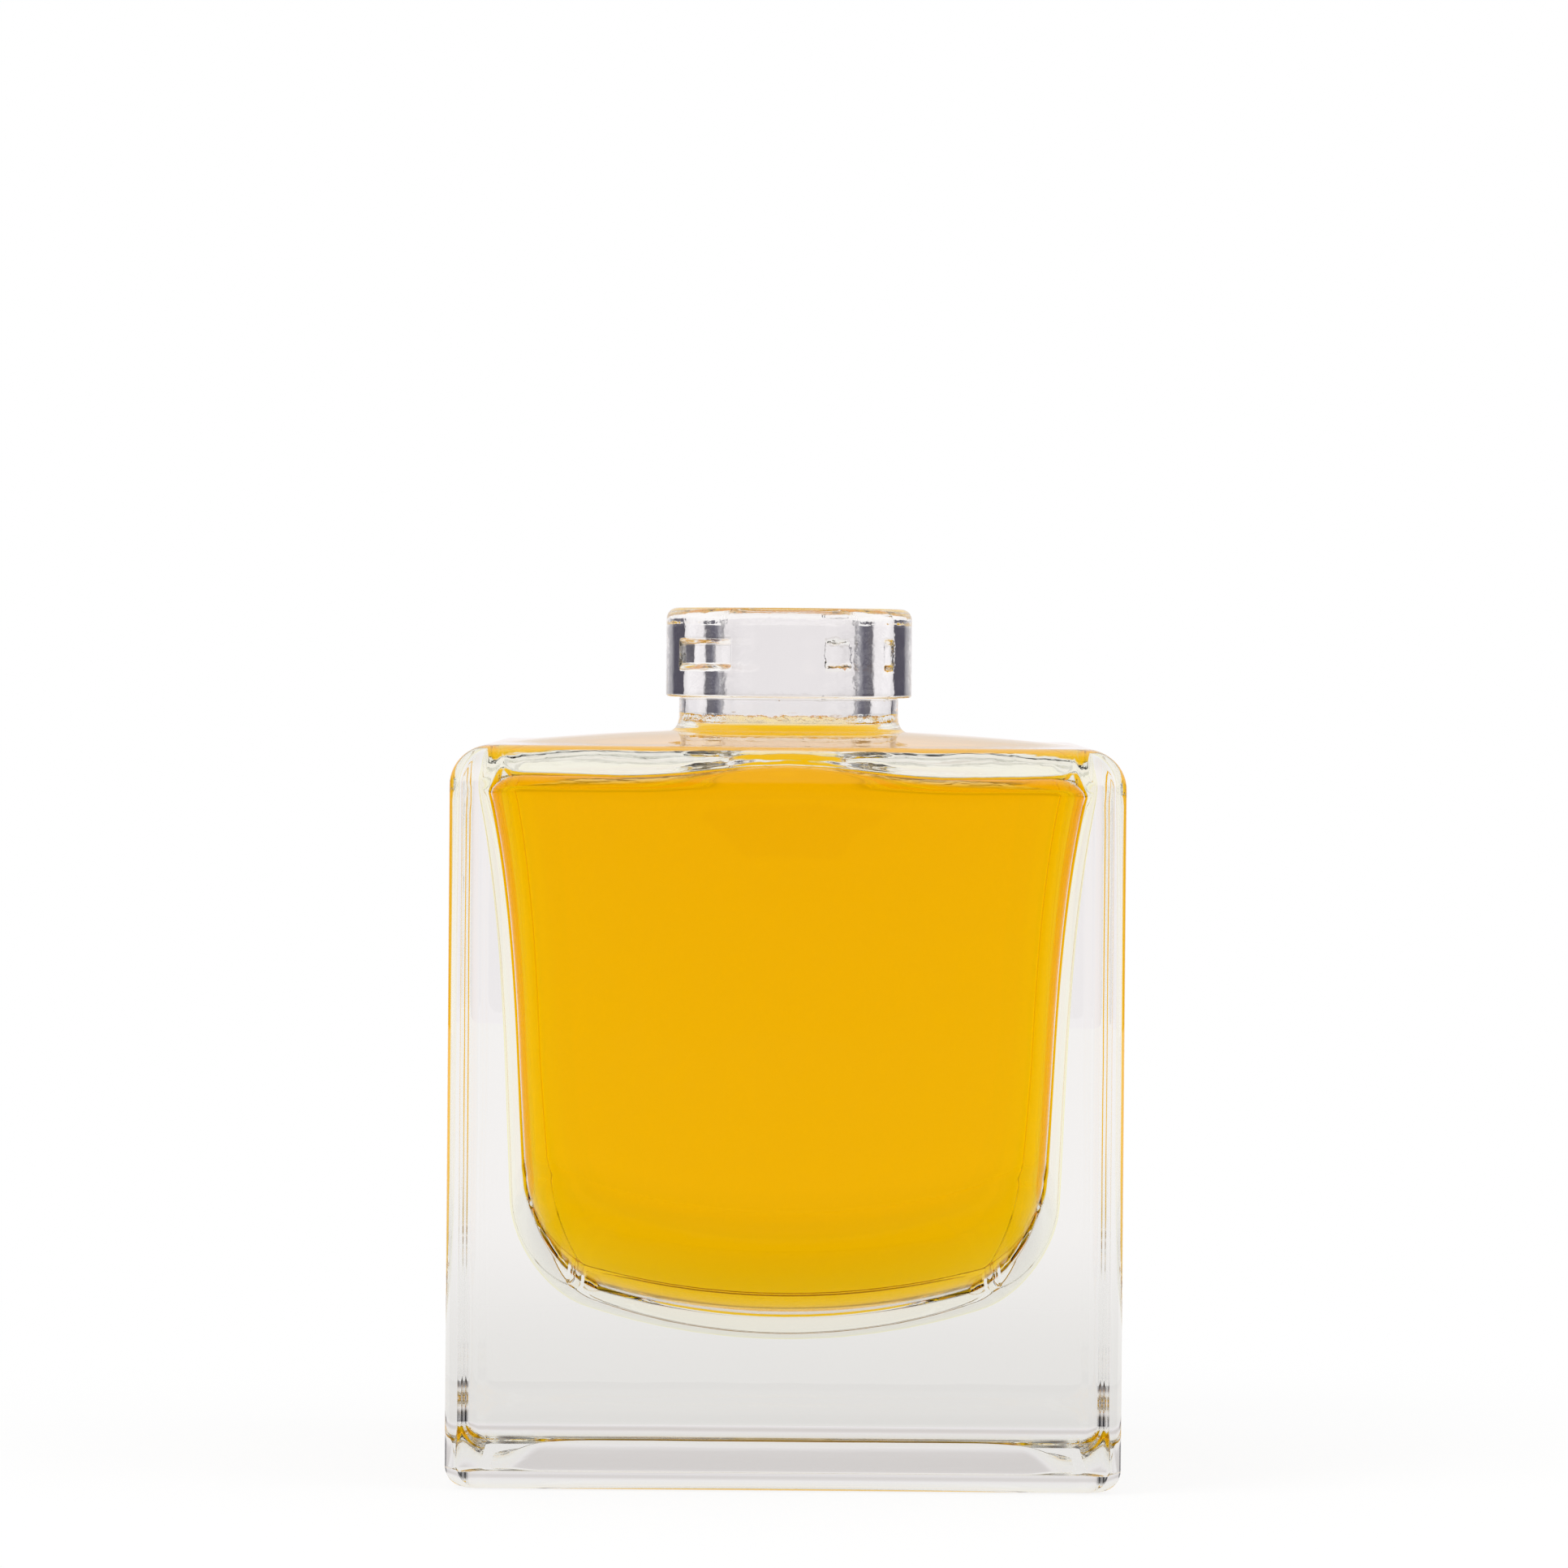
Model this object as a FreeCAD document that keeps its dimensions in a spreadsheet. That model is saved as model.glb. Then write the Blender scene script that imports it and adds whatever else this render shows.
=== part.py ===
"""Square glass bottle with a thick clear base, filled with an orange-yellow drink.

Millimetres, +Z up. The origin is the middle of the foot, on the surface the bottle stands on.
The glass is an outer form less a cavity form, and the drink is the cavity form up to the fill
level, so the two pieces always meet face to face.
"""
import FreeCAD, Part
import math
import os

import Sketcher

SIZES = {
    # body, outside
    "body_width": 76.0,
    "shoulder_height": 83.7,
    "upright_round": 1.5,
    "shoulder_round": 4.5,
    "heel_round": 3.2,
    "dome_rise": 1.7,
    "dome_inset": 4.6,
    # recess under the foot
    "push_up_inset": 7.0,
    "push_up_corner": 9.0,
    "push_up_depth": 1.0,
    "push_up_round": 0.45,
    # neck and finish
    "throat_height": 3.7,
    "throat_inset": 1.55,
    "throat_flare": 1.8,
    "finish_width": 28.8,
    "finish_height": 10.4,
    "finish_crown_round": 1.3,
    "finish_skirt_round": 0.35,
    "bore_width": 16.2,
    "bore_flare": 3.0,
    "mouth_round": 1.0,
    # alignment notches in the finish
    "notch_width": 8.4,
    "notch_height": 2.9,
    "notch_depth": 0.8,
    "notch_below_mouth": 5.4,
    "notch_turn": -45.0,
    # glass thickness, and the outline of the chamber inside
    "base_thickness": 15.1,
    "foot_wall": 8.0,
    "waist_wall": 5.6,
    "chest_wall": 4.4,
    "crown_wall": 1.9,
    "roof_thickness": 3.2,
    "chest_below_roof": 15.4,
    "foot_corner": 13.0,
    "waist_corner": 5.5,
    "chest_corner": 4.0,
    "crown_corner": 4.0,
    "chamber_bulge": 2.0,
    "bowl_radius": 74.0,
    "bowl_round": 9.0,
    "roof_round": 2.0,
    # drink
    "fill_below_mouth": 14.1,
}
# Heights and half widths that follow from the driving sizes.
CREST_UP = "(Sizes.shoulder_height + Sizes.dome_rise)"
SKIRT_UP = f"({CREST_UP} + Sizes.throat_height)"
MOUTH_UP = f"({SKIRT_UP} + Sizes.finish_height)"
ROOF_UP = "(Sizes.shoulder_height - Sizes.roof_thickness)"
WAIST_UP = f"((Sizes.base_thickness + {ROOF_UP}) / 2)"
CHEST_UP = f"({ROOF_UP} - Sizes.chest_below_roof)"
FILL_UP = f"({MOUTH_UP} - Sizes.fill_below_mouth)"
SIDE = "(Sizes.body_width / 2)"
FINISH_OUT = "(Sizes.finish_width / 2)"
THROAT_OUT = f"({FINISH_OUT} - Sizes.throat_inset)"
BORE_OUT = "(Sizes.bore_width / 2)"
# Cutters and hidden roots reach this far past the faces they meet.
MARGIN = 5.0
# Lengths closer than this count as equal when an edge is looked for.
NEAR = 0.01
# The rounded edges at the heel and the shoulder are lofted through this many steps.
ROUNDING_STEPS = 6


def make_sheet(document):
    """Driving dimensions: a name in column A and its value, with that name as alias, in B."""
    sheet = document.addObject("Spreadsheet::Sheet", "Sizes")
    for row, (alias, value) in enumerate(SIZES.items(), start=1):
        sheet.set(f"A{row}", alias)
        sheet.set(f"B{row}", str(value))
        sheet.setAlias(f"B{row}", alias)
    document.recompute()
    return sheet


def value_of(owner, expression):
    """What an expression in the sheet's names comes to now, as a plain number."""
    result = owner.evalExpression(expression)
    return float(getattr(result, "Value", result))


def add_sketch(body, name, role, raise_by=None, turn_by=None):
    """A sketch on one of the body's origin planes, moved off it by expressions."""
    sketch = body.newObject("Sketcher::SketchObject", name)
    plane = next(feature for feature in body.Origin.OriginFeatures if feature.Role == role)
    sketch.AttachmentSupport = [(plane, "")]
    sketch.MapMode = "FlatFace"
    if raise_by:
        sketch.setExpression("AttachmentOffset.Base.z", raise_by)
    if turn_by:
        sketch.AttachmentOffset.Rotation.Axis = FreeCAD.Vector(0, 1, 0)
        sketch.setExpression("AttachmentOffset.Rotation.Angle", turn_by)
    return sketch


def constrain(sketch, *constraint):
    sketch.addConstraint(Sketcher.Constraint(*constraint))


def bind(sketch, kind, elements, expression):
    """Adds a dimension to a sketch and ties it to the sheet."""
    value = value_of(sketch, expression)
    index = sketch.addConstraint(Sketcher.Constraint(kind, *elements, value))
    sketch.setExpression(f"Constraints[{index}]", expression)


def add_arc(sketch, centre, radius, start, end):
    circle = Part.Circle(FreeCAD.Vector(*centre, 0), FreeCAD.Vector(0, 0, 1), radius)
    sketch.addGeometry(Part.ArcOfCircle(circle, start, end), False)


def add_line(sketch, start, end):
    sketch.addGeometry(Part.LineSegment(FreeCAD.Vector(*start, 0), FreeCAD.Vector(*end, 0)), False)


def draw_polygon(sketch, corners):
    """A closed outline. Each corner is a pair of expressions, measured from the origin."""
    places = [tuple(value_of(sketch, expression) for expression in corner) for corner in corners]
    count = len(places)
    for index in range(count):
        add_line(sketch, places[index], places[(index + 1) % count])
    for index, corner in enumerate(corners):
        constrain(sketch, "Coincident", index, 2, (index + 1) % count, 1)
        for axis, place, expression in zip("XY", places[index], corner):
            if expression == "0":
                constrain(sketch, "PointOnObject", index, 1, -2 if axis == "X" else -1)
            elif place < 0:
                bind(sketch, f"Distance{axis}", (index, 1, -1, 1), f"-({expression})")
            else:
                bind(sketch, f"Distance{axis}", (-1, 1, index, 1), expression)


def draw_rounded_square(sketch, width, corner):
    """A square with round corners about the origin, from expressions for its width and corner."""
    half, radius = value_of(sketch, width) / 2, value_of(sketch, corner)
    straight = half - radius
    for quarter in range(4):
        turn = quarter * math.pi / 2
        cosine, sine = round(math.cos(turn)), round(math.sin(turn))
        ends = [(cosine * x + sine * half, sine * x - cosine * half) for x in (-straight, straight)]
        add_line(sketch, *ends)
        centre = ((cosine + sine) * straight, (sine - cosine) * straight)
        add_arc(sketch, centre, radius, turn - math.pi / 2, turn)
    for quarter in range(4):
        line, arc, next_line = 2 * quarter, 2 * quarter + 1, (2 * quarter + 2) % 8
        constrain(sketch, "Tangent", line, 2, arc, 1)
        constrain(sketch, "Tangent", arc, 2, next_line, 1)
        constrain(sketch, "Vertical" if quarter % 2 else "Horizontal", line)
    for arc in (3, 5, 7):
        constrain(sketch, "Equal", 1, arc)
    constrain(sketch, "Equal", 0, 2)
    constrain(sketch, "Symmetric", 1, 3, 5, 3, -1, 1)
    bind(sketch, "Radius", (1,), corner)
    bind(sketch, "DistanceX", (0, 1, 0, 2), f"{width} - 2 * {corner}")


def draw_pillow(sketch, width, corner, bulge):
    """A square with round corners whose sides stand out by bulge in the middle."""
    half = f"({width} / 2)"
    side_radius = f"((({half} - {corner})^2 + {bulge}^2) / (2 * {bulge}))"
    reach, radius, out = (value_of(sketch, length) for length in (side_radius, corner, half))
    back = reach - out
    middle = (math.sqrt(2 * (reach - radius)**2 - back**2) - back) / 2
    lean = math.atan2(middle, middle + back)
    for quarter in range(4):
        turn = quarter * math.pi / 2
        cosine, sine = round(math.cos(turn)), round(math.sin(turn))
        add_arc(sketch, (-cosine * back, -sine * back), reach, turn - lean, turn + lean)
        centre = ((cosine - sine) * middle, (sine + cosine) * middle)
        add_arc(sketch, centre, radius, turn + lean, turn + math.pi / 2 - lean)
    for quarter in range(4):
        side, arc, next_side = 2 * quarter, 2 * quarter + 1, (2 * quarter + 2) % 8
        constrain(sketch, "Tangent", side, 2, arc, 1)
        constrain(sketch, "Tangent", arc, 2, next_side, 1)
        constrain(sketch, "PointOnObject", side, 3, -2 if quarter % 2 else -1)
        axis = "Y" if quarter % 2 else "X"
        ends = (side, 3, -1, 1) if quarter < 2 else (-1, 1, side, 3)
        bind(sketch, f"Distance{axis}", ends, f"{side_radius} - {half}")
    for other in (2, 4, 6):
        constrain(sketch, "Equal", 0, other)
        constrain(sketch, "Equal", 1, 1 + other)
    bind(sketch, "Radius", (0,), side_radius)
    bind(sketch, "Radius", (1,), corner)


def draw_cap(sketch, side, apex, radius, reach, rim):
    """Half section between a shallow spherical cap, with its apex on the axis, and a level rim.

    The cap is a dome with side 1 and a bowl with side -1, and it goes out to reach.
    """
    apex_z, cap, edge_x, rim_z = (value_of(sketch, item) for item in (apex, radius, reach, rim))
    edge_z = apex_z - side * (cap - math.sqrt(cap**2 - edge_x**2))
    tilt = math.acos(edge_x / cap)
    spans = {1: (tilt, math.pi / 2), -1: (-math.pi / 2, -tilt)}
    add_arc(sketch, (0, apex_z - side * cap), cap, *spans[side])
    at_axis, at_edge = (2, 1) if side == 1 else (1, 2)
    corners = [(edge_x, edge_z), (edge_x, rim_z), (0, rim_z), (0, apex_z)]
    for start, end in zip(corners, corners[1:]):
        add_line(sketch, start, end)
    constrain(sketch, "Coincident", 0, at_edge, 1, 1)
    constrain(sketch, "Coincident", 1, 2, 2, 1)
    constrain(sketch, "Coincident", 2, 2, 3, 1)
    constrain(sketch, "Coincident", 3, 2, 0, at_axis)
    constrain(sketch, "Vertical", 1)
    constrain(sketch, "Horizontal", 2)
    constrain(sketch, "Vertical", 3)
    constrain(sketch, "PointOnObject", 3, 1, -2)
    constrain(sketch, "PointOnObject", 0, 3, -2)
    bind(sketch, "DistanceY", (-1, 1, 3, 2), apex)
    bind(sketch, "Radius", (0,), radius)
    bind(sketch, "DistanceX", (-1, 1, 1, 1), reach)
    if rim_z < 0:
        bind(sketch, "DistanceY", (2, 1, -1, 1), f"-({rim})")
    else:
        bind(sketch, "DistanceY", (-1, 1, 2, 1), rim)


def turned(body, name, kind, sketch):
    """A full turn of a sketch on the XZ plane about the upright axis: Revolution or Groove."""
    feature = body.newObject(f"PartDesign::{kind}", name)
    feature.Profile = sketch
    feature.ReferenceAxis = (sketch, ["V_Axis"])
    feature.Angle = 360


def round_edges(body, name, radius, wanted):
    """Fillets every edge of the body so far for which wanted(edge's box) is true."""
    body.Document.recompute()
    edges = enumerate(body.Tip.Shape.Edges, start=1)
    names = [f"Edge{index}" for index, edge in edges if wanted(edge.BoundBox)]
    base = body.Tip
    feature = body.newObject("PartDesign::Fillet", name)
    feature.Base = (base, names)
    feature.setExpression("Radius", radius)


def is_ring(box, radius, height):
    """Whether a box holds a level circle of this radius about the upright axis, at this height."""
    level = box.ZLength < NEAR and abs(box.ZMin - height) < NEAR
    return level and abs(box.XMax - radius) < NEAR and abs(box.YMin + radius) < NEAR


def loft(body, name, plans):
    feature = body.newObject("PartDesign::AdditiveLoft", name)
    feature.Profile = plans[0]
    feature.Sections = plans[1:]


def shape_rounding(body, name, rounding, level, sign):
    """A quarter round all round the body, from a level plane out and up or down to the side.

    Its plans are drawn in from the side but keep the corners of the uprights.
    """
    plans = []
    for step in range(ROUNDING_STEPS + 1):
        turn = math.pi / 2 * step / ROUNDING_STEPS
        inset = f"{rounding} * {1 - math.sin(turn):.6f}"
        away = f"{rounding} * {1 - math.cos(turn):.6f}"
        plan = add_sketch(body, f"{name}Plan{step}", "XY_Plane", raise_by=f"{level} {sign} {away}")
        draw_rounded_square(plan, f"(Sizes.body_width - 2 * {inset})", "Sizes.upright_round")
        plans.append(plan)
    loft(body, name, plans)


def shape_block(body):
    """The square body with its round uprights, shoulder edge and heel."""
    plan = add_sketch(body, "BodyPlan", "XY_Plane", raise_by="Sizes.heel_round")
    draw_rounded_square(plan, "Sizes.body_width", "Sizes.upright_round")
    block = body.newObject("PartDesign::Pad", "Block")
    block.Profile = plan
    block.setExpression("Length", "Sizes.shoulder_height - Sizes.shoulder_round - Sizes.heel_round")
    shape_rounding(body, "Heel", "Sizes.heel_round", "0", "+")
    shape_rounding(body, "ShoulderEdge", "Sizes.shoulder_round", "Sizes.shoulder_height", "-")


def shape_dome(body):
    """The shoulder's shallow dome, from just inside its edge up to the crest."""
    reach = f"({SIDE} - Sizes.dome_inset)"
    sketch = add_sketch(body, "DomeSection", "XZ_Plane")
    radius = f"({reach}^2 + Sizes.dome_rise^2) / (2 * Sizes.dome_rise)"
    draw_cap(sketch, 1, CREST_UP, radius, reach, f"Sizes.shoulder_height - {MARGIN}")
    turned(body, "Dome", "Revolution", sketch)


def shape_push_up(body):
    """The shallow recess under the foot, which leaves a square ring to stand on."""
    width = "(Sizes.body_width - 2 * Sizes.push_up_inset)"
    sketch = add_sketch(body, "PushUpPlan", "XY_Plane")
    draw_rounded_square(sketch, width, "Sizes.push_up_corner")
    push_up = body.newObject("PartDesign::Pocket", "PushUp")
    push_up.Profile = sketch
    push_up.Reversed = True
    push_up.setExpression("Length", "Sizes.push_up_depth")
    half, depth = value_of(body, f"{width} / 2"), value_of(body, "Sizes.push_up_depth")
    round_edges(body, "PushUpRounding", "Sizes.push_up_round",
                lambda box: box.XMax < half + NEAR and box.ZMax < depth + NEAR and box.ZLength < NEAR)


def shape_neck(body):
    """The throat and the plain band of the finish above it, still solid."""
    root = f"Sizes.shoulder_height - {MARGIN}"
    sketch = add_sketch(body, "NeckSection", "XZ_Plane")
    draw_polygon(sketch, [("0", root), (THROAT_OUT, root), (THROAT_OUT, SKIRT_UP),
                          (FINISH_OUT, SKIRT_UP), (FINISH_OUT, MOUTH_UP), ("0", MOUTH_UP)])
    turned(body, "Neck", "Revolution", sketch)
    throat, finish = value_of(body, THROAT_OUT), value_of(body, FINISH_OUT)
    skirt, mouth = value_of(body, SKIRT_UP), value_of(body, MOUTH_UP)
    round_edges(body, "ThroatFlare", "Sizes.throat_flare",
                lambda box: box.ZMax < skirt - NEAR and is_ring(box, throat, box.ZMin))
    round_edges(body, "FinishSkirt", "Sizes.finish_skirt_round", lambda box: is_ring(box, finish, skirt))
    round_edges(body, "FinishCrown", "Sizes.finish_crown_round", lambda box: is_ring(box, finish, mouth))


def shape_notches(body):
    """Two flat-floored notches in the finish, across from each other on a diagonal of the body."""
    sketch = add_sketch(body, "NotchOutline", "XZ_Plane", turn_by="Sizes.notch_turn",
                        raise_by=f"{FINISH_OUT} - Sizes.notch_depth")
    across = "Sizes.notch_width / 2"
    low, high = (f"{MOUTH_UP} - Sizes.notch_below_mouth {sign} Sizes.notch_height / 2" for sign in "-+")
    draw_polygon(sketch, [(f"-{across}", low), (across, low), (across, high), (f"-{across}", high)])
    notch = body.newObject("PartDesign::Pocket", "Notch")
    notch.Profile = sketch
    notch.Reversed = True
    notch.Length = MARGIN
    pair = body.newObject("PartDesign::PolarPattern", "NotchPair")
    pair.Originals = [notch]
    pair.Axis = (body.getObject("BodyPlan"), ["N_Axis"])
    pair.Angle = 360
    pair.Occurrences = 2
    body.Tip = pair


def make_outer_form(document):
    """The bottle as if it were solid glass."""
    body = document.addObject("PartDesign::Body", "OuterForm")
    shape_block(body)
    shape_dome(body)
    shape_push_up(body)
    shape_neck(body)
    shape_notches(body)
    return body


def shape_chamber(body):
    """The tapered chamber for the drink, with a bowl for a floor and a flat roof."""
    stations = {"foot": "Sizes.base_thickness / 2", "waist": WAIST_UP, "chest": CHEST_UP, "crown": ROOF_UP}
    plans = []
    for name, height in stations.items():
        plan = add_sketch(body, f"{name.capitalize()}Plan", "XY_Plane", raise_by=height)
        draw_pillow(plan, f"(Sizes.body_width - 2 * Sizes.{name}_wall)", f"Sizes.{name}_corner",
                    "Sizes.chamber_bulge")
        plans.append(plan)
    loft(body, "Chamber", plans)

    sketch = add_sketch(body, "BowlSection", "XZ_Plane")
    draw_cap(sketch, -1, "Sizes.base_thickness", "Sizes.bowl_radius",
             f"{SIDE} * sqrt(2)", f"-{MARGIN}")
    turned(body, "Bowl", "Groove", sketch)
    waist, roof = value_of(body, WAIST_UP), value_of(body, ROOF_UP)
    round_edges(body, "BowlEdge", "Sizes.bowl_round",
                lambda box: box.ZMax < waist and box.DiagonalLength > NEAR)
    round_edges(body, "RoofEdge", "Sizes.roof_round", lambda box: box.ZMin > roof - NEAR)


def shape_bore(body):
    """The passage through the neck, flared into the chamber and rounded out at the mouth."""
    root, above = f"{ROOF_UP} - {MARGIN}", f"{MOUTH_UP} + {MARGIN}"
    sketch = add_sketch(body, "BoreSection", "XZ_Plane")
    draw_polygon(sketch, [("0", root), (BORE_OUT, root), (BORE_OUT, MOUTH_UP),
                          (FINISH_OUT, MOUTH_UP), (FINISH_OUT, above), ("0", above)])
    turned(body, "Bore", "Revolution", sketch)
    bore = value_of(body, BORE_OUT)
    roof, mouth = value_of(body, ROOF_UP), value_of(body, MOUTH_UP)
    round_edges(body, "BoreFlare", "Sizes.bore_flare", lambda box: is_ring(box, bore, roof))
    round_edges(body, "MouthRounding", "Sizes.mouth_round", lambda box: is_ring(box, bore, mouth))


def make_cavity_form(document):
    """Everything inside the glass, from the bowl floor up through the mouth."""
    body = document.addObject("PartDesign::Body", "CavityForm")
    shape_chamber(body)
    shape_bore(body)
    return body


def make_glass(document, outer, cavity):
    """The bottle: its outer form less the cavity."""
    glass = document.addObject("Part::Cut", "Glass")
    glass.Label = "glass_bottle"
    glass.Base = outer
    glass.Tool = cavity
    return glass


def make_drink(document, cavity):
    """What the cavity holds, up to a level surface."""
    filled = document.addObject("Part::Box", "FilledHeight")
    for size in ("Length", "Width"):
        filled.setExpression(size, "Sizes.body_width")
    filled.setExpression("Height", FILL_UP)
    for axis in "xy":
        filled.setExpression(f"Placement.Base.{axis}", f"-{SIDE}")
    drink = document.addObject("Part::Common", "Drink")
    drink.Label = "drink"
    drink.Base = cavity
    drink.Tool = filled
    return drink


def check_document(document, pieces):
    """Stops at the first object that failed, and at a piece that isn't one sound solid."""
    for item in document.Objects:
        if {"Invalid", "Error"} & set(item.State):
            raise RuntimeError(f"{item.Label} failed to build")
    for piece in pieces:
        shape = piece.Shape
        if shape.isNull() or not shape.isValid() or len(shape.Solids) != 1:
            raise RuntimeError(f"{piece.Label} isn't one valid solid")


def main():
    document = FreeCAD.newDocument("SquareBottle")
    make_sheet(document)
    outer = make_outer_form(document)
    cavity = make_cavity_form(document)
    pieces = [make_glass(document, outer, cavity), make_drink(document, cavity)]
    document.recompute()
    check_document(document, pieces)
    os.makedirs("parts", exist_ok=True)
    for piece in pieces:
        piece.Shape.exportStep(f"parts/{piece.Label}.step")
        print(f"{piece.Label}: {piece.Shape.Volume / 1000:.1f} cubic centimetres")


main()
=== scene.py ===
"""Looks of a square glass bottle filled with an orange-yellow drink. Metres, +Z up.

The glass is one closed skin. Its dry faces meet the air and its wet ones meet the drink, and each
kind bends light as it should there. The drink reaches just into the wall, and gives the colour.
"""
import math

import bpy
import numpy as np
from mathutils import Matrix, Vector


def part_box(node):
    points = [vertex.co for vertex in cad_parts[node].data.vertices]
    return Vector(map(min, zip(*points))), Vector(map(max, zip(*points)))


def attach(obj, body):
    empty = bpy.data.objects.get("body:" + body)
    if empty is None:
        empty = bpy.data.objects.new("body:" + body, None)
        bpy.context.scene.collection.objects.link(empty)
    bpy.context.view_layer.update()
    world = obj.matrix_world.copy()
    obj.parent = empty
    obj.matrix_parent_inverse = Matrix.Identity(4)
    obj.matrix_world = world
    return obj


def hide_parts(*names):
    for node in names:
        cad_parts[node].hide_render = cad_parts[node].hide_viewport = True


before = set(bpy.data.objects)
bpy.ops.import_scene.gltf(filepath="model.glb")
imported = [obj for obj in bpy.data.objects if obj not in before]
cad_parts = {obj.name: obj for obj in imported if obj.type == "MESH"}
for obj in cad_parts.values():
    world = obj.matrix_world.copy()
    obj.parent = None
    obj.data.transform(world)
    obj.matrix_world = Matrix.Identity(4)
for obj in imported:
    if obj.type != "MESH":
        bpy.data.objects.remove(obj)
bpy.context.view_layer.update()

GLASS_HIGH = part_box("glass_bottle")[1]
DRINK_LOW, DRINK_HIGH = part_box("drink")

# Outer form
HALF = GLASS_HIGH[0]
MOUTH = GLASS_HIGH[2]
SHOULDER = 0.0837
UPRIGHT_ROUND = 0.0015
SHOULDER_ROUND = 0.0045
HEEL_ROUND = 0.0027
DOME_RISE = 0.0017
DOME_REACH = HALF - 0.0046
PUSH_UP_HALF = HALF - 0.007
PUSH_UP_CORNER = 0.009
PUSH_UP_DEPTH = 0.001
PUSH_UP_SLOPE = 0.003
# Neck
FINISH = 0.0144
THROAT = FINISH - 0.00155
SKIRT = MOUTH - 0.0104
THROAT_FLARE = 0.0018
THROAT_REACH = 0.0011
CROWN_ROUND = 0.0013
SKIRT_ROUND = 0.00035
SKIRT_STEP = 0.0001
BORE = 0.0081
MOUTH_ROUND = 0.001
NOTCH_MIDDLE = MOUTH - 0.0054
NOTCH_HALF_HEIGHT = 0.00145
NOTCH_FLOOR = FINISH - 0.0008
NOTCH_HALF_WIDTH = 0.0042
NOTCH_EDGE = 0.0001
# Chamber
FLOOR = DRINK_LOW[2]
FILL = DRINK_HIGH[2]
ROOF = SHOULDER - 0.0032
BOWL_RADIUS = 0.074
BOWL_ROUND = 0.009
FOOT_LEVEL = FLOOR + BOWL_ROUND + 0.004
ROOF_ROUND = 0.002
BORE_FLARE = 0.003
CHAMBER_BULGE = 0.002
CHAMBER_CORNER = 0.0042
LEAST_CORNER = 0.001
CORNER_PINCH = 0.6
FOOT_CORNER_EXTRA = 0.008
STATIONS = [(FLOOR / 2, 0.0300), ((FLOOR + ROOF) / 2, 0.0324), (ROOF - 0.0154, 0.0336), (ROOF, 0.0361)]
# The roof's rise toward the neck, and the wave round its edge
ROOF_RISE = 0.0016
RISE_FROM = 0.030
ROOF_WAVE = 0.0005
WAVE_FROM = 0.020
WAVE_FADE = 0.014
SETTLE_REACH = 0.012
# The drink's surface at the wall of the bore, and how far the drink reaches into the glass
MENISCUS_DEPTH = 0.0024
MENISCUS_WIDTH = 0.0022
OVERLAP = 0.00003

# Points of a ring in an eighth of a turn
SIDE_STEPS = 14
CORNER_STEPS = 12

GLASS_IOR = 1.52
DRINK_IOR = 1.36
# The glass's tint where it is wet, and where it is dry by height above the foot
WET_TINT = (1.0, 0.74, 0.42)
DRY_TINTS = [(0.008, (0.86, 0.86, 0.855)), (0.030, (0.94, 0.94, 0.935)),
             (SHOULDER, (0.94, 0.94, 0.935)), (SKIRT, (0.985, 0.98, 0.98))]
# Ripples of the mould: scale, height, and where on the way up they start and are full.
# The widest are drawn out along the height.
RIPPLES = [(90, 0.00002, -0.02, -0.01), (220, 0.00005, SHOULDER - 0.010, SHOULDER - 0.001),
           (900, 0.00002, SHOULDER + 0.001, SKIRT)]
RIPPLE_STRETCH = (1.0, 1.0, 0.45)
# Seams of the mould: height above the foot, half width and depth
SEAMS = [(SHOULDER + 0.0029, 0.0007, 0.00012), (MOUTH - 0.0015, 0.0006, 0.00006)]
SEAM_SCALE = 700
DRINK_COLOUR = (0.998, 0.957, 0.0)
DRINK_DENSITY = 130.0

# The room that shows in the glass: colours by degrees from straight behind the bottle, low and high
AROUND = [(0, (0.98, 0.95, 0.96)), (12, (0.97, 0.94, 0.95)), (37, (0.85, 0.82, 0.83)),
          (43, (0.10, 0.092, 0.11)), (62, (0.09, 0.085, 0.12)), (74, (0.42, 0.41, 0.44)),
          (95, (0.50, 0.49, 0.50)), (115, (0.03, 0.03, 0.035)), (180, (0.004, 0.004, 0.004))]
ABOVE = [(100, (0.97, 0.96, 0.94)), (130, (0.40, 0.39, 0.39))]
# The sines of elevation between which the colours above take over
HIGH_ROOM = (0.12, 0.30)
# The two sides just below the horizon: colour, degrees from the side, and sines of elevation
BESIDE = (0.97, 0.95, 0.95)
BESIDE_REACH = (20 / 180, 12 / 180)
HORIZON = (0.0, -0.004)
# Shade by the sine of the elevation
SHADES = [(0.02, (1, 1, 1)), (0.07, (0.83, 0.825, 0.81)), (0.115, (0.83, 0.82, 0.80)),
          (0.19, (1, 1, 1)), (0.32, (1, 1, 1)), (0.50, (1, 0.99, 0.95)),
          (0.90, (1, 0.98, 0.91)), (0.97, (0.30, 0.30, 0.31))]
ROOM_LIGHT = (0.75, 0.75, 0.75)
WHITE = (1, 1, 1)

PAPER_REACH = 1.0
PAPER_STEPS = 96
PAPER_COLOUR = (0.9, 0.9, 0.9)
# Painted warm light on the paper under the bottle, shown through the glass
PAINTED_WARM_LIGHT_UNDER = (0.98, 0.95, 0.88)
# Painted shade on the paper close behind the bottle, shown through the glass
PAINTED_SHADE_CLOSE = (0.93, 0.915, 0.895)
PAPER_FAR = (1.0, 0.98, 0.97)
# Painted darkness on the paper in front of the bottle, seen only in reflections
PAINTED_DARK_IN_FRONT = (0.01, 0.01, 0.01)
# Where the painted light, shade and darkness on the paper change, by distance from the axis, and its
# least share of glow
UNDER_EDGE = (0.012, HALF - 0.002)
CLOSE_EDGE = (0.10, 0.36)
FRONT_EDGE = (-HALF, -HALF - 0.02)
GLOW_EDGE = (0.04, 0.22)
LEAST_GLOW = 0.88

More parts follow.
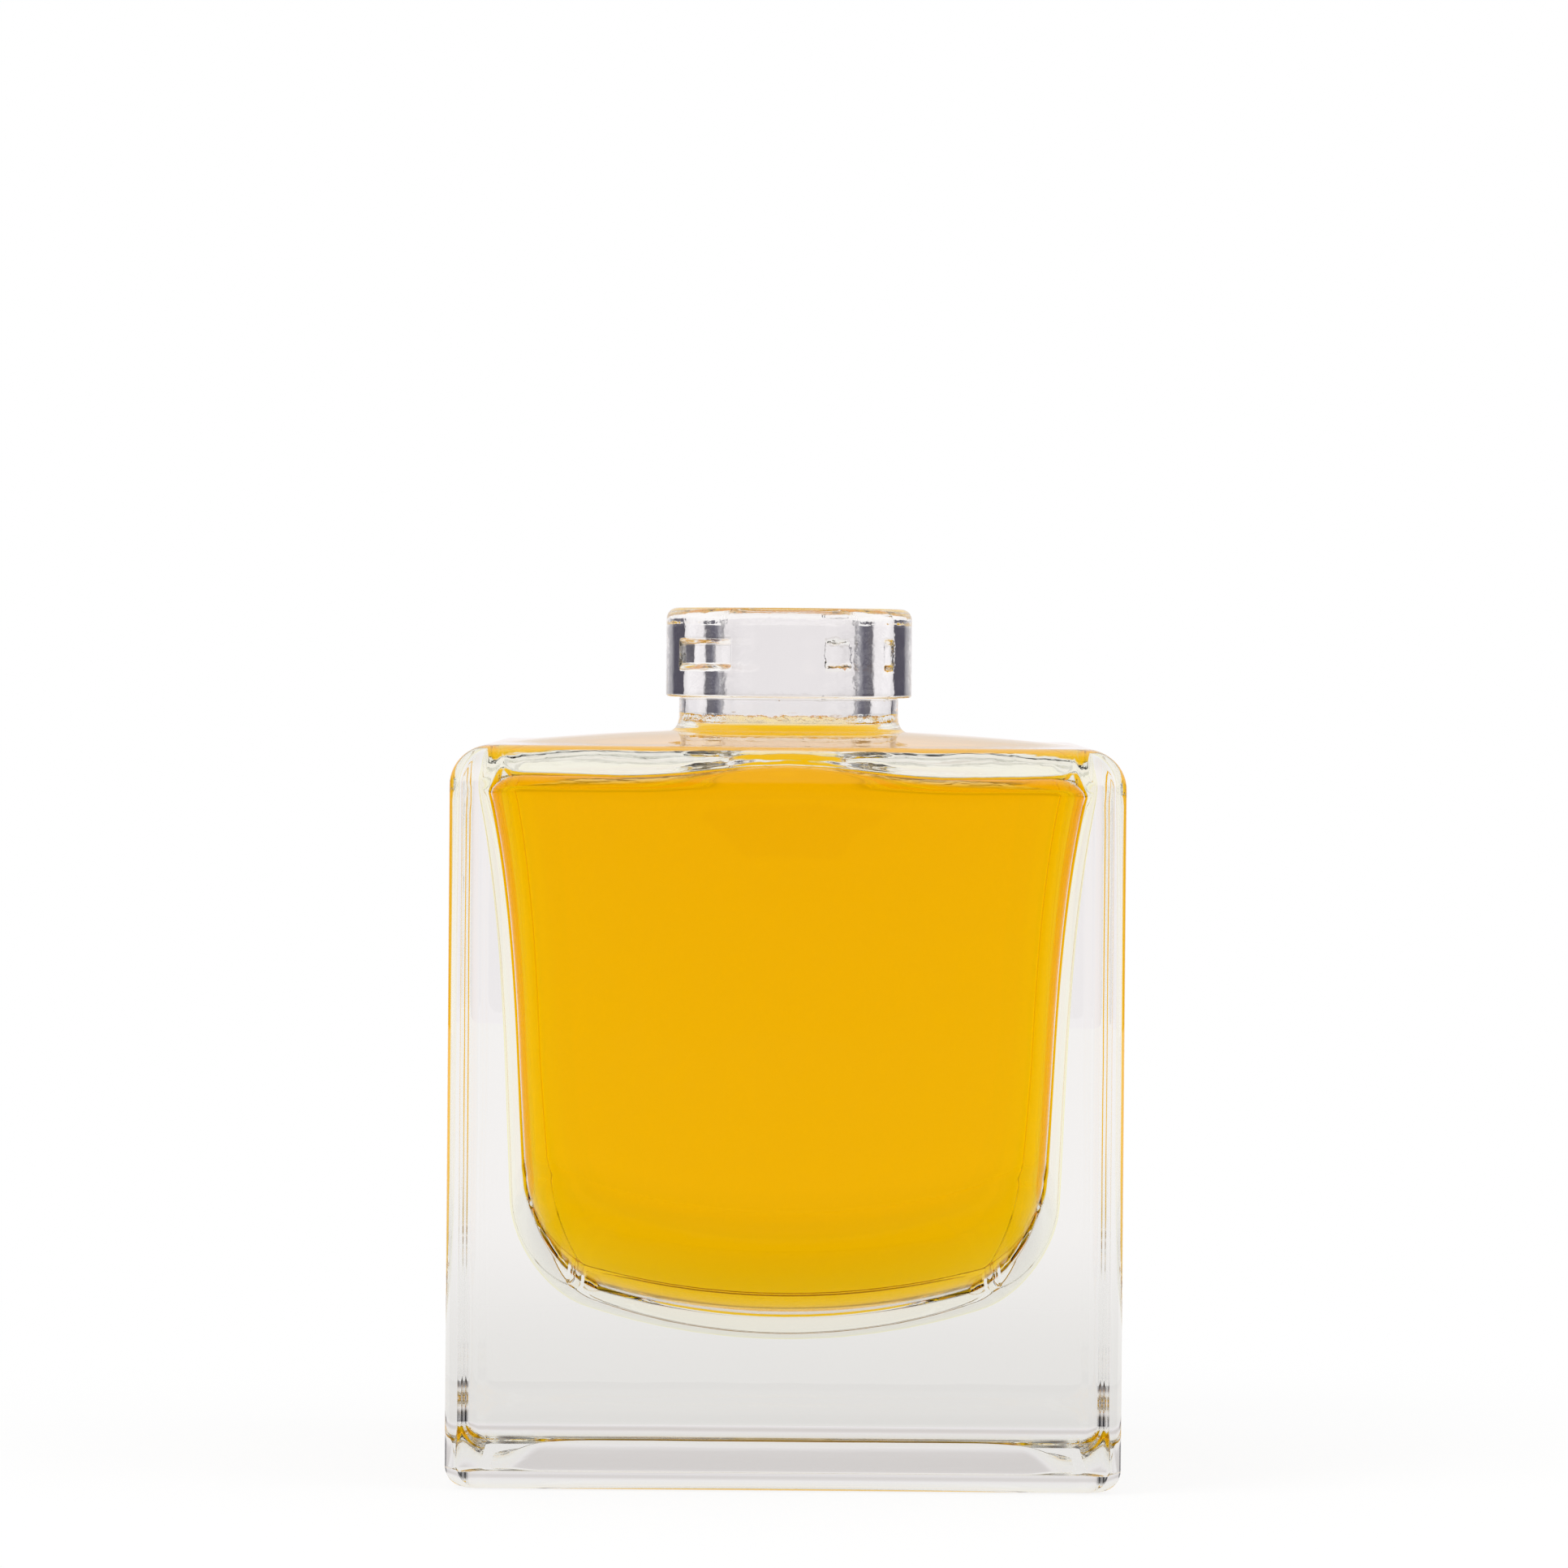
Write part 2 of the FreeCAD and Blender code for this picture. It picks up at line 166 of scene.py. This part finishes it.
LENS = 164
EYE = Vector((-0.00047, -HALF - 0.8, 0.094))
AIM = Vector((-0.00047, -HALF, 0.0796))
ROLL = math.radians(0.46)

# Name, place, size and power
LAMPS = [("key", (-0.7, -0.5, 0.9), 0.6, 6.0), ("fill", (0.8, -0.2, 0.8), 0.8, 4.0)]
LAMP_AIM = Vector((0, 0, 0.05))


def folded_angles():
    """Polar angles for an eighth of the neck, closest together at the edges of the notches."""
    edge = 45 - math.degrees(math.asin(NOTCH_HALF_WIDTH / FINISH))
    before, close, after = 0.8, 0.12, 1.2
    return np.concatenate([
        np.linspace(0, edge - before, SIDE_STEPS - 2, endpoint=False),
        [edge - before, edge - close, edge + close],
        np.linspace(edge + after, 45, CORNER_STEPS)])


def whole(across, along):
    """All round the axis from the points of one eighth, by mirrors and quarter turns."""
    quarter = np.concatenate([np.stack([across, along], 1), np.stack([along, across], 1)[-2:0:-1]])
    turns = []
    for turn in range(4):
        cos, sin = (1, 0, -1, 0)[turn], (0, 1, 0, -1)[turn]
        turns.append(quarter @ np.array([[cos, sin], [-sin, cos]]))
    return np.concatenate(turns)


def rounded(half, corner, bulge=0.0):
    """A square with round corners. Its sides stand out by bulge in the middle."""
    corner = min(corner, half)
    straight = half - corner
    side = 1 - np.linspace(1, 0, SIDE_STEPS + 1)[:-1] ** 2
    if bulge == 0:
        points = [np.full(SIDE_STEPS, half), straight * side]
        centre, first = straight, 0.0
    else:
        radius = straight**2 / (2 * bulge) + bulge / 2
        back = radius - half
        centre = (math.sqrt(2 * (radius - corner)**2 - back**2) - back) / 2
        first = math.atan2(centre, centre + back)
        points = [radius * np.cos(first * side) - back, radius * np.sin(first * side)]
    turns = np.linspace(first, math.pi / 4, CORNER_STEPS + 1)
    across = np.concatenate([points[0], centre + corner * np.cos(turns)])
    along = np.concatenate([points[1], centre + corner * np.sin(turns)])
    return whole(across, along)


def circle(radius):
    """A round outline, with its points where the notches need them."""
    turns = np.radians(folded_angles())
    return whole(radius * np.cos(turns), radius * np.sin(turns))


def level(outline, height):
    """A ring of points: an outline at a height, which is a number or one value for each point."""
    return np.column_stack([outline, np.broadcast_to(height, len(outline))])


def between(first, last, share):
    """An outline part of the way from one to another."""
    return first * (1 - share) + last * share


def distance(outline):
    """How far each point of an outline is from the axis."""
    return np.hypot(outline[:, 0], outline[:, 1])


def blend(low, high, count, ends=(False, True)):
    """Evenly spaced values from low to high, without the ends that aren't asked for."""
    shares = np.linspace(low, high, count + 1)
    return shares[(0 if ends[0] else 1):(None if ends[1] else -1)]


def quarter_turn(count, ends=(False, True)):
    """Evenly spaced angles up to a right angle."""
    return blend(0, math.pi / 2, count, ends)


def dome(radius):
    """Height of the shoulder's top at a distance from the axis."""
    sphere = (DOME_REACH**2 + DOME_RISE**2) / (2 * DOME_RISE)
    drop = sphere - np.sqrt(sphere**2 - np.minimum(radius, DOME_REACH)**2)
    return SHOULDER + DOME_RISE - drop


def foot_rings():
    """From the middle of the foot, down the recess's slope and across the ring it stands on."""
    rings = []
    inner = rounded(PUSH_UP_HALF - PUSH_UP_SLOPE, PUSH_UP_CORNER - PUSH_UP_SLOPE)
    for share in (0.02, 0.2, 0.4, 0.6, 0.8, 0.92):
        rings.append(level(inner * share, PUSH_UP_DEPTH))
    for share in blend(-1, 1, 14, (True, True)):
        outset = PUSH_UP_SLOPE * share
        outline = rounded(PUSH_UP_HALF + outset, PUSH_UP_CORNER + outset)
        rings.append(level(outline, PUSH_UP_DEPTH * (1 - math.sin(share * math.pi / 2)) / 2))
    contact = rounded(HALF - HEEL_ROUND, UPRIGHT_ROUND)
    rings.append(level(between(outline, contact, 0.5), 0))
    return rings


def side_rings():
    """Round the heel, up the sides and round the shoulder's edge."""
    rings = []
    for turn in quarter_turn(12, (True, True)):
        outline = rounded(HALF - HEEL_ROUND * (1 - math.sin(turn)), UPRIGHT_ROUND)
        rings.append(level(outline, HEEL_ROUND * (1 - math.cos(turn))))
    for height in blend(HEEL_ROUND, SHOULDER - SHOULDER_ROUND, 30):
        rings.append(level(rounded(HALF, UPRIGHT_ROUND), height))
    for turn in quarter_turn(16):
        outline = rounded(HALF - SHOULDER_ROUND * (1 - math.cos(turn)), UPRIGHT_ROUND)
        rings.append(level(outline, SHOULDER - SHOULDER_ROUND * (1 - math.sin(turn))))
    return rings


def throat_rings():
    """Over the domed top and up the throat to the underside of the band."""
    rings = []
    edge = rounded(HALF - SHOULDER_ROUND, UPRIGHT_ROUND)
    foot = circle(THROAT + THROAT_REACH)
    for share in blend(0, 1, 16):
        across = between(edge, foot, share)
        rings.append(level(across, dome(distance(across))))
    crest = dome(THROAT + THROAT_REACH)
    for turn in quarter_turn(10):
        radius = THROAT + THROAT_REACH * (1 - math.sin(turn))
        rings.append(level(circle(radius), crest + THROAT_FLARE * (1 - math.cos(turn))))
    for radius, height in ((THROAT, SKIRT - 0.0003), (THROAT, SKIRT), (THROAT + SKIRT_STEP, SKIRT),
                           (FINISH - SKIRT_ROUND, SKIRT)):
        rings.append(level(circle(radius), height))
    return rings


def band_rings():
    """The neck's band with its notches and crown, and the lip round the mouth."""
    rings = []
    for turn in quarter_turn(5):
        radius = FINISH - SKIRT_ROUND * (1 - math.sin(turn))
        rings.append(level(circle(radius), SKIRT + SKIRT_ROUND * (1 - math.cos(turn))))
    low, high = NOTCH_MIDDLE - NOTCH_HALF_HEIGHT, NOTCH_MIDDLE + NOTCH_HALF_HEIGHT
    crown = MOUTH - CROWN_ROUND
    heights = np.concatenate([
        blend(SKIRT + SKIRT_ROUND, low - NOTCH_EDGE, 5), blend(low - NOTCH_EDGE, low + NOTCH_EDGE, 1),
        blend(low + NOTCH_EDGE, high - NOTCH_EDGE, 6), blend(high - NOTCH_EDGE, high + NOTCH_EDGE, 1),
        blend(high + NOTCH_EDGE, crown, 5)])
    for height in heights:
        outline = circle(FINISH)
        if low < height < high:
            outline = cut_notches(outline)
        rings.append(level(outline, height))
    for turn in quarter_turn(8):
        radius = FINISH - CROWN_ROUND * (1 - math.cos(turn))
        rings.append(level(circle(radius), crown + CROWN_ROUND * math.sin(turn)))
    lip = BORE + MOUTH_ROUND
    rings.append(level(circle((FINISH - CROWN_ROUND + lip) / 2), MOUTH))
    for turn in quarter_turn(7, (True, True)):
        radius = lip - MOUTH_ROUND * math.sin(turn)
        rings.append(level(circle(radius), MOUTH - MOUTH_ROUND * (1 - math.cos(turn))))
    return rings


def cut_notches(outline):
    """Two flat-floored notches, at the front left and the back right."""
    outward = (outline[:, 0] + outline[:, 1]) / math.sqrt(2)
    sideways = (outline[:, 1] - outline[:, 0]) / math.sqrt(2)
    inside = np.abs(sideways) < NOTCH_HALF_WIDTH
    outward = np.where(inside, np.clip(outward, -NOTCH_FLOOR, NOTCH_FLOOR), outward)
    return np.column_stack([outward - sideways, outward + sideways]) / math.sqrt(2)


def wall(height):
    """Half width of the chamber at a height, on a smooth curve through its stations."""
    total = 0
    for index, (station, half) in enumerate(STATIONS):
        share = 1.0
        for other, (other_station, _) in enumerate(STATIONS):
            if other != index:
                share = share * (height - other_station) / (station - other_station)
        total = total + half * share
    return total


def bowl(radius):
    """Height of the bowl in the base at a distance from the axis."""
    return FLOOR + BOWL_RADIUS - np.sqrt(BOWL_RADIUS**2 - radius**2)


def corner_at(height):
    """Radius of the chamber's upright corners, which are rounder near the foot."""
    waist = (FLOOR + ROOF) / 2
    return CHAMBER_CORNER + FOOT_CORNER_EXTRA * max(0, (waist - height) / waist) ** 1.5


def settle(ring):
    """The chamber's roof rises toward the neck and the middle of each side."""
    across, along, height = ring.T
    radius = np.hypot(across, along)
    turn = np.arctan2(np.minimum(abs(across), abs(along)), np.maximum(abs(across), abs(along)))
    rise = ROOF_RISE * np.clip((RISE_FROM - radius) / (RISE_FROM - BORE - BORE_FLARE), 0, 1) ** 1.5
    wave = ROOF_WAVE * np.cos(6 * np.minimum(turn, math.pi / 6))
    wave = wave * np.clip((radius - WAVE_FROM) / WAVE_FADE, 0, 1)
    near = np.where(height < ROOF, 1 - (ROOF - height) / SETTLE_REACH, 1 - (height - ROOF) / BORE_FLARE)
    return np.column_stack([across, along, height + (rise + wave) * np.clip(near, 0, 1) ** 1.5])


def chamber(inset, half, height, grow):
    """The chamber's outline, drawn in from the wall by inset."""
    corner = max(corner_at(height) - inset * CORNER_PINCH + grow, LEAST_CORNER)
    return rounded(half - inset + grow, corner, CHAMBER_BULGE)


def bowl_rings(grow):
    """From the middle of the bowl out and up to the foot of the chamber's wall."""
    rings = []
    lean = math.atan((wall(0.04) - wall(0.03)) / 0.01)
    last_turn = math.pi / 2 - lean
    shift = BOWL_ROUND * (1 - math.sin(last_turn))
    foot_half = wall(FOOT_LEVEL)

    def foot_ring(turn):
        """The outline and heights of a ring on the rounded edge between the bowl and the wall."""
        outline = chamber(BOWL_ROUND * (1 - math.sin(turn)) - shift, foot_half, FOOT_LEVEL, grow)
        return outline, bowl(distance(outline)) - grow + BOWL_ROUND * (1 - math.cos(turn))

    inner, _ = foot_ring(0)
    for share in (0.02, 0.15, 0.3, 0.45, 0.6, 0.72, 0.82, 0.9, 0.96):
        outline = between(circle(0.8 * foot_half), inner, share**2) * share
        rings.append(level(outline, bowl(distance(outline)) - grow))
    for turn in blend(0, last_turn, 20, (True, True)):
        rings.append(level(*foot_ring(turn)))
    return rings


def roof_rings(outline, grow):
    """Under the roof and up the flare of the bore to the fill level."""
    rings = []
    rim = circle(BORE + BORE_FLARE)
    for share in blend(0, 1, 18):
        rings.append(level(between(outline, rim, share), ROOF + grow))
    for turn in quarter_turn(10):
        radius = BORE + BORE_FLARE - (BORE_FLARE - grow) * math.sin(turn)
        height = ROOF + grow + (BORE_FLARE - grow) * (1 - math.cos(turn))
        rings.append(level(circle(radius), height))
    rings.append(level(circle(BORE + grow), FILL))
    return rings


def inner_rings(grow=0.0):
    """The whole chamber, from the middle of the bowl to the fill level, larger by grow."""
    rings = bowl_rings(grow)
    edge_height = rings[-1][:, 2]
    edge_error = wall(FOOT_LEVEL) - wall(float(np.mean(edge_height)))
    top = ROOF - ROOF_ROUND
    for share in blend(0, 1, 44):
        height = edge_height + (top - edge_height) * share
        middle = float(np.mean(height))
        half = wall(middle) + edge_error * (1 - share) ** 3
        rings.append(level(chamber(0, half, middle, grow), height))
    for turn in quarter_turn(10):
        outline = chamber(ROOF_ROUND * (1 - math.cos(turn)), wall(top), top, grow)
        rings.append(level(outline, top + (ROOF_ROUND + grow) * math.sin(turn)))
    rings += roof_rings(outline, grow)
    return [settle(ring) for ring in rings]


def meniscus(share):
    """Height of the drink's surface, which climbs a little at the wall of the bore."""
    return FILL - MENISCUS_DEPTH * (1 - math.exp(-BORE * (1 - share) / MENISCUS_WIDTH))


def skin(name, rings, first_pole, last_pole):
    """A closed mesh from rings of points, with a point at each end, and each face's ring."""
    count = len(rings[0])
    points = np.concatenate(rings + [[first_pole], [last_pole]])
    poles = len(rings) * count
    faces, bands = [], []
    for step in range(count):
        faces.append((poles, (step + 1) % count, step))
        bands.append(-1)
    for band in range(len(rings) - 1):
        for step in range(count):
            a, b = band * count + step, band * count + (step + 1) % count
            faces.append((a, b, b + count, a + count))
            bands.append(band)
    last = poles - count
    for step in range(count):
        faces.append((poles + 1, last + step, last + (step + 1) % count))
        bands.append(len(rings) - 1)
    mesh = bpy.data.meshes.new(name)
    mesh.from_pydata(points.tolist(), [], faces)
    mesh.shade_smooth()
    piece = bpy.data.objects.new(name, mesh)
    bpy.context.scene.collection.objects.link(piece)
    return piece, bands


def make_glass():
    """One closed skin: up the outside, over the lip, down the bore and round the chamber."""
    outside = foot_rings() + side_rings() + throat_rings() + band_rings()
    heights = blend(MOUTH - MOUTH_ROUND, FILL, 16, (False, False))
    bore = [level(circle(BORE), height) for height in heights]
    wet_from = len(outside) + len(bore)
    rings = outside + bore + inner_rings()[::-1]
    glass, bands = skin("glass_bottle_skin", rings, (0, 0, PUSH_UP_DEPTH), (0, 0, FLOOR))
    for face, band in zip(glass.data.polygons, bands):
        face.material_index = 1 if band >= wet_from else 0
    dry = glass_material("glass_clear", GLASS_IOR)
    tint_by_height(dry, DRY_TINTS)
    glass.data.materials.append(dry)
    glass.data.materials.append(glass_material("glass_wet", GLASS_IOR / DRINK_IOR, WET_TINT))
    return glass


def make_drink():
    """The drink up to its curved surface, grown just into the wall so that no air gap shows."""
    rings = inner_rings(OVERLAP)
    rings += [level(circle(share * BORE), meniscus(share)) for share in np.linspace(0.98, 0.1, 14)]
    drink, _ = skin("drink_filling", rings, (0, 0, FLOOR - OVERLAP), (0, 0, meniscus(0)))
    drink.data.materials.append(drink_material())
    return drink


def principled(name, **values):
    """A material with one Principled node, and that node."""
    material = bpy.data.materials.new(name)
    material.use_nodes = True
    shader = material.node_tree.nodes["Principled BSDF"]
    for socket, value in values.items():
        shader.inputs[socket.replace("_", " ")].default_value = value
    return material, shader


def add_node(tree, kind, inputs=None, **settings):
    """A node with its settings, and its sockets linked or set from inputs."""
    node = tree.nodes.new(kind)
    for name, value in settings.items():
        setattr(node, name, value)
    for socket, value in (inputs or {}).items():
        if isinstance(value, bpy.types.NodeSocket):
            tree.links.new(value, node.inputs[socket])
        else:
            node.inputs[socket].default_value = value
    return node


def calculate(tree, operation, *values):
    """The result of a math node."""
    node = add_node(tree, "ShaderNodeMath", dict(enumerate(values)), operation=operation)
    return node.outputs["Value"]


def remap(tree, value, low, high, to_low=0.0, to_high=1.0):
    """A value eased from one range to another and held at its ends."""
    inputs = {"Value": value, "From Min": low, "From Max": high, "To Min": to_low, "To Max": to_high}
    node = add_node(tree, "ShaderNodeMapRange", inputs, interpolation_type="SMOOTHSTEP")
    return node.outputs["Result"]


def colour_ramp(tree, value, stops, full=1.0):
    """A value's colour on a ramp through stops, each a place from 0 to full and a colour."""
    node = add_node(tree, "ShaderNodeValToRGB", {"Fac": value})
    elements = node.color_ramp.elements
    elements.remove(elements[1])
    while len(elements) < len(stops):
        elements.new(0.5)
    for element, (place, colour) in zip(elements, stops):
        element.position = place / full
        element.color = (*colour, 1)
    return node.outputs["Color"]


def mix_colours(tree, share, first, second, blend_type="MIX"):
    """A mix of two colours, each a socket or red, green and blue."""
    first, second = (colour if isinstance(colour, bpy.types.NodeSocket) else (*colour, 1)
                     for colour in (first, second))
    node = add_node(tree, "ShaderNodeMix", {0: share, 6: first, 7: second}, data_type="RGBA",
                    blend_type=blend_type)
    return node.outputs[2]


def object_place(tree):
    """A point's place on the object, as a vector and as its three parts."""
    place = add_node(tree, "ShaderNodeTexCoord").outputs["Object"]
    return place, add_node(tree, "ShaderNodeSeparateXYZ", {"Vector": place}).outputs


def glass_material(name, ior, tint=WHITE):
    """Clear glass with the mould's ripples, which get finer toward the neck, and its seams."""
    material, shader = principled(name, Base_Color=(*tint, 1), Roughness=0.0, IOR=ior,
                                  Transmission_Weight=1.0)
    tree = material.node_tree
    place, parts = object_place(tree)
    up = parts["Z"]
    stretched = add_node(tree, "ShaderNodeMapping", {"Vector": place, "Scale": RIPPLE_STRETCH})
    ripples = 0.0
    for index, (scale, size, low, high) in enumerate(RIPPLES):
        vector = stretched.outputs["Vector"] if index == 0 else place
        waves = add_node(tree, "ShaderNodeTexNoise",
                         {"Vector": vector, "Scale": scale, "Detail": 2.0, "Roughness": 0.45})
        share = remap(tree, up, low, high, 0.0, size)
        ripples = calculate(tree, "MULTIPLY_ADD", waves.outputs["Fac"], share, ripples)
    for middle, half_width, size in SEAMS:
        waves = add_node(tree, "ShaderNodeTexNoise",
                         {"Vector": place, "Scale": SEAM_SCALE, "Detail": 3.0, "Roughness": 0.6})
        off = calculate(tree, "ABSOLUTE", calculate(tree, "SUBTRACT", up, middle))
        share = remap(tree, off, 0.0, half_width, size, 0.0)
        ripples = calculate(tree, "MULTIPLY_ADD", waves.outputs["Fac"], share, ripples)
    bump = add_node(tree, "ShaderNodeBump", {"Height": ripples, "Strength": 1.0, "Distance": 1.0})
    tree.links.new(bump.outputs["Normal"], shader.inputs["Normal"])
    return material


def tint_by_height(material, stops):
    """A glass's tint on the way up: darker toward the foot, nearly none in the neck."""
    tree = material.node_tree
    _, parts = object_place(tree)
    colour = colour_ramp(tree, calculate(tree, "DIVIDE", parts["Z"], MOUTH), stops, MOUTH)
    tree.links.new(colour, tree.nodes["Principled BSDF"].inputs["Base Color"])


def drink_material():
    """A clear drink. Its sides bend no light, since the wet face of the glass does that."""
    material, _ = principled("drink_liquid", Base_Color=(1, 1, 1, 1), Roughness=0.0, IOR=1.0,
                             Transmission_Weight=1.0)
    tree = material.node_tree
    absorption = add_node(tree, "ShaderNodeVolumeAbsorption",
                          {"Color": (*DRINK_COLOUR, 1), "Density": DRINK_DENSITY})
    tree.links.new(absorption.outputs["Volume"], tree.nodes["Material Output"].inputs["Volume"])
    return material


def make_world():
    """A white backdrop, dark gaps on the diagonals, dimmer side panels and a dark room in front."""
    world = bpy.data.worlds.new("studio")
    bpy.context.scene.world = world
    world.use_nodes = True
    tree = world.node_tree
    direction = add_node(tree, "ShaderNodeTexCoord").outputs["Generated"]
    parts = add_node(tree, "ShaderNodeSeparateXYZ", {"Vector": direction}).outputs
    across = calculate(tree, "ABSOLUTE", parts["X"])
    azimuth = calculate(tree, "ARCTAN2", across, parts["Y"])
    turn = calculate(tree, "DIVIDE", azimuth, math.pi)
    up = parts["Z"]
    around = colour_ramp(tree, turn, AROUND, 180)
    above = colour_ramp(tree, turn, ABOVE, 180)
    room = mix_colours(tree, remap(tree, up, *HIGH_ROOM), around, above)
    off_side = calculate(tree, "ABSOLUTE", calculate(tree, "SUBTRACT", turn, 0.5))
    to_side = remap(tree, off_side, *BESIDE_REACH)
    beside = calculate(tree, "MULTIPLY", to_side, remap(tree, up, *HORIZON))
    room = mix_colours(tree, beside, room, BESIDE)
    shaded = mix_colours(tree, 1.0, room, colour_ramp(tree, up, SHADES), "MULTIPLY")
    path = add_node(tree, "ShaderNodeLightPath").outputs
    lit = mix_colours(tree, path["Is Diffuse Ray"], shaded, ROOM_LIGHT)
    shown = mix_colours(tree, path["Is Camera Ray"], lit, WHITE)
    tree.links.new(shown, tree.nodes["Background"].inputs["Color"])


def make_camera():
    """The camera at the photograph's viewing angle."""
    camera = bpy.data.cameras.new("camera")
    eye = bpy.data.objects.new("camera", camera)
    bpy.context.scene.collection.objects.link(eye)
    camera.sensor_width = 36
    camera.lens = LENS
    eye.location = EYE
    eye.rotation_euler = (AIM - EYE).to_track_quat("-Z", "Y").to_euler()
    eye.rotation_euler.rotate_axis("Z", ROLL)
    bpy.context.scene.camera = eye


def paper_material():
    """White paper that keeps the soft shadow. What the glass shows of it glows with painted light and
    shade: painted warm light under the bottle, painted shade close behind it and painted darkness in
    front.
    """
    material, shader = principled("floor_paper", Base_Color=(*PAPER_COLOUR, 1), Roughness=0.9)
    tree = material.node_tree
    place, parts = object_place(tree)
    away = add_node(tree, "ShaderNodeVectorMath", {0: place}, operation="LENGTH").outputs["Value"]
    path = add_node(tree, "ShaderNodeLightPath").outputs
    # For what the glass shows of the paper: painted warm light under the bottle, and painted shade
    # close behind it that fades farther off
    outside = remap(tree, away, *UNDER_EDGE)
    behind = mix_colours(tree, remap(tree, away, *CLOSE_EDGE), PAINTED_SHADE_CLOSE, PAPER_FAR)
    near = mix_colours(tree, outside, PAINTED_WARM_LIGHT_UNDER, behind)
    # Painted darkness on the paper in front of the bottle, seen only in reflections
    mirrored = calculate(tree, "SUBTRACT", path["Is Glossy Ray"], path["Is Transmission Ray"])
    in_front = calculate(tree, "MULTIPLY", mirrored, remap(tree, parts["Y"], *FRONT_EDGE))
    seen = mix_colours(tree, in_front, near, PAINTED_DARK_IN_FRONT)
    colour = mix_colours(tree, path["Is Camera Ray"], seen, WHITE)
    glow = add_node(tree, "ShaderNodeEmission", {"Color": colour})
    unlit = calculate(tree, "SUBTRACT", 1.0, path["Is Diffuse Ray"])
    share = calculate(tree, "MULTIPLY", unlit, remap(tree, away, *GLOW_EDGE, LEAST_GLOW, 1.0))
    mix = add_node(tree, "ShaderNodeMixShader",
                   {0: share, 1: shader.outputs["BSDF"], 2: glow.outputs["Emission"]})
    tree.links.new(mix.outputs["Shader"], tree.nodes["Material Output"].inputs["Surface"])
    return material


def make_floor():
    """A round sheet of white paper that fades into the backdrop."""
    turns = np.linspace(0, 2 * math.pi, PAPER_STEPS, endpoint=False)
    rim = [(PAPER_REACH * math.cos(turn), PAPER_REACH * math.sin(turn), 0) for turn in turns]
    mesh = bpy.data.meshes.new("floor")
    mesh.from_pydata(rim, [], [tuple(range(PAPER_STEPS))])
    mesh.materials.append(paper_material())
    floor = bpy.data.objects.new("floor", mesh)
    bpy.context.scene.collection.objects.link(floor)


def make_lamps():
    """Two soft lamps, which show in no reflection."""
    for name, place, size, power in LAMPS:
        lamp = bpy.data.lights.new(name, "AREA")
        lamp.size = size
        lamp.energy = power
        source = bpy.data.objects.new(name, lamp)
        source.location = place
        source.visible_glossy = False
        source.visible_transmission = False
        source.rotation_euler = (LAMP_AIM - Vector(place)).to_track_quat("-Z", "Y").to_euler()
        bpy.context.scene.collection.objects.link(source)


def main():
    """The whole scene, with enough bounces for light to cross all the faces of the glass."""
    scene = bpy.context.scene
    scene.view_settings.view_transform = "Standard"
    scene.cycles.max_bounces = 20
    scene.cycles.glossy_bounces = 14
    scene.cycles.transmission_bounces = 20
    glass, drink = make_glass(), make_drink()
    for piece, node, slot in ((glass, "glass_bottle", "glass"), (drink, "drink", "drink")):
        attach(piece, "root")
        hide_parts(node)
    make_world()
    make_floor()
    make_lamps()
    make_camera()


main()
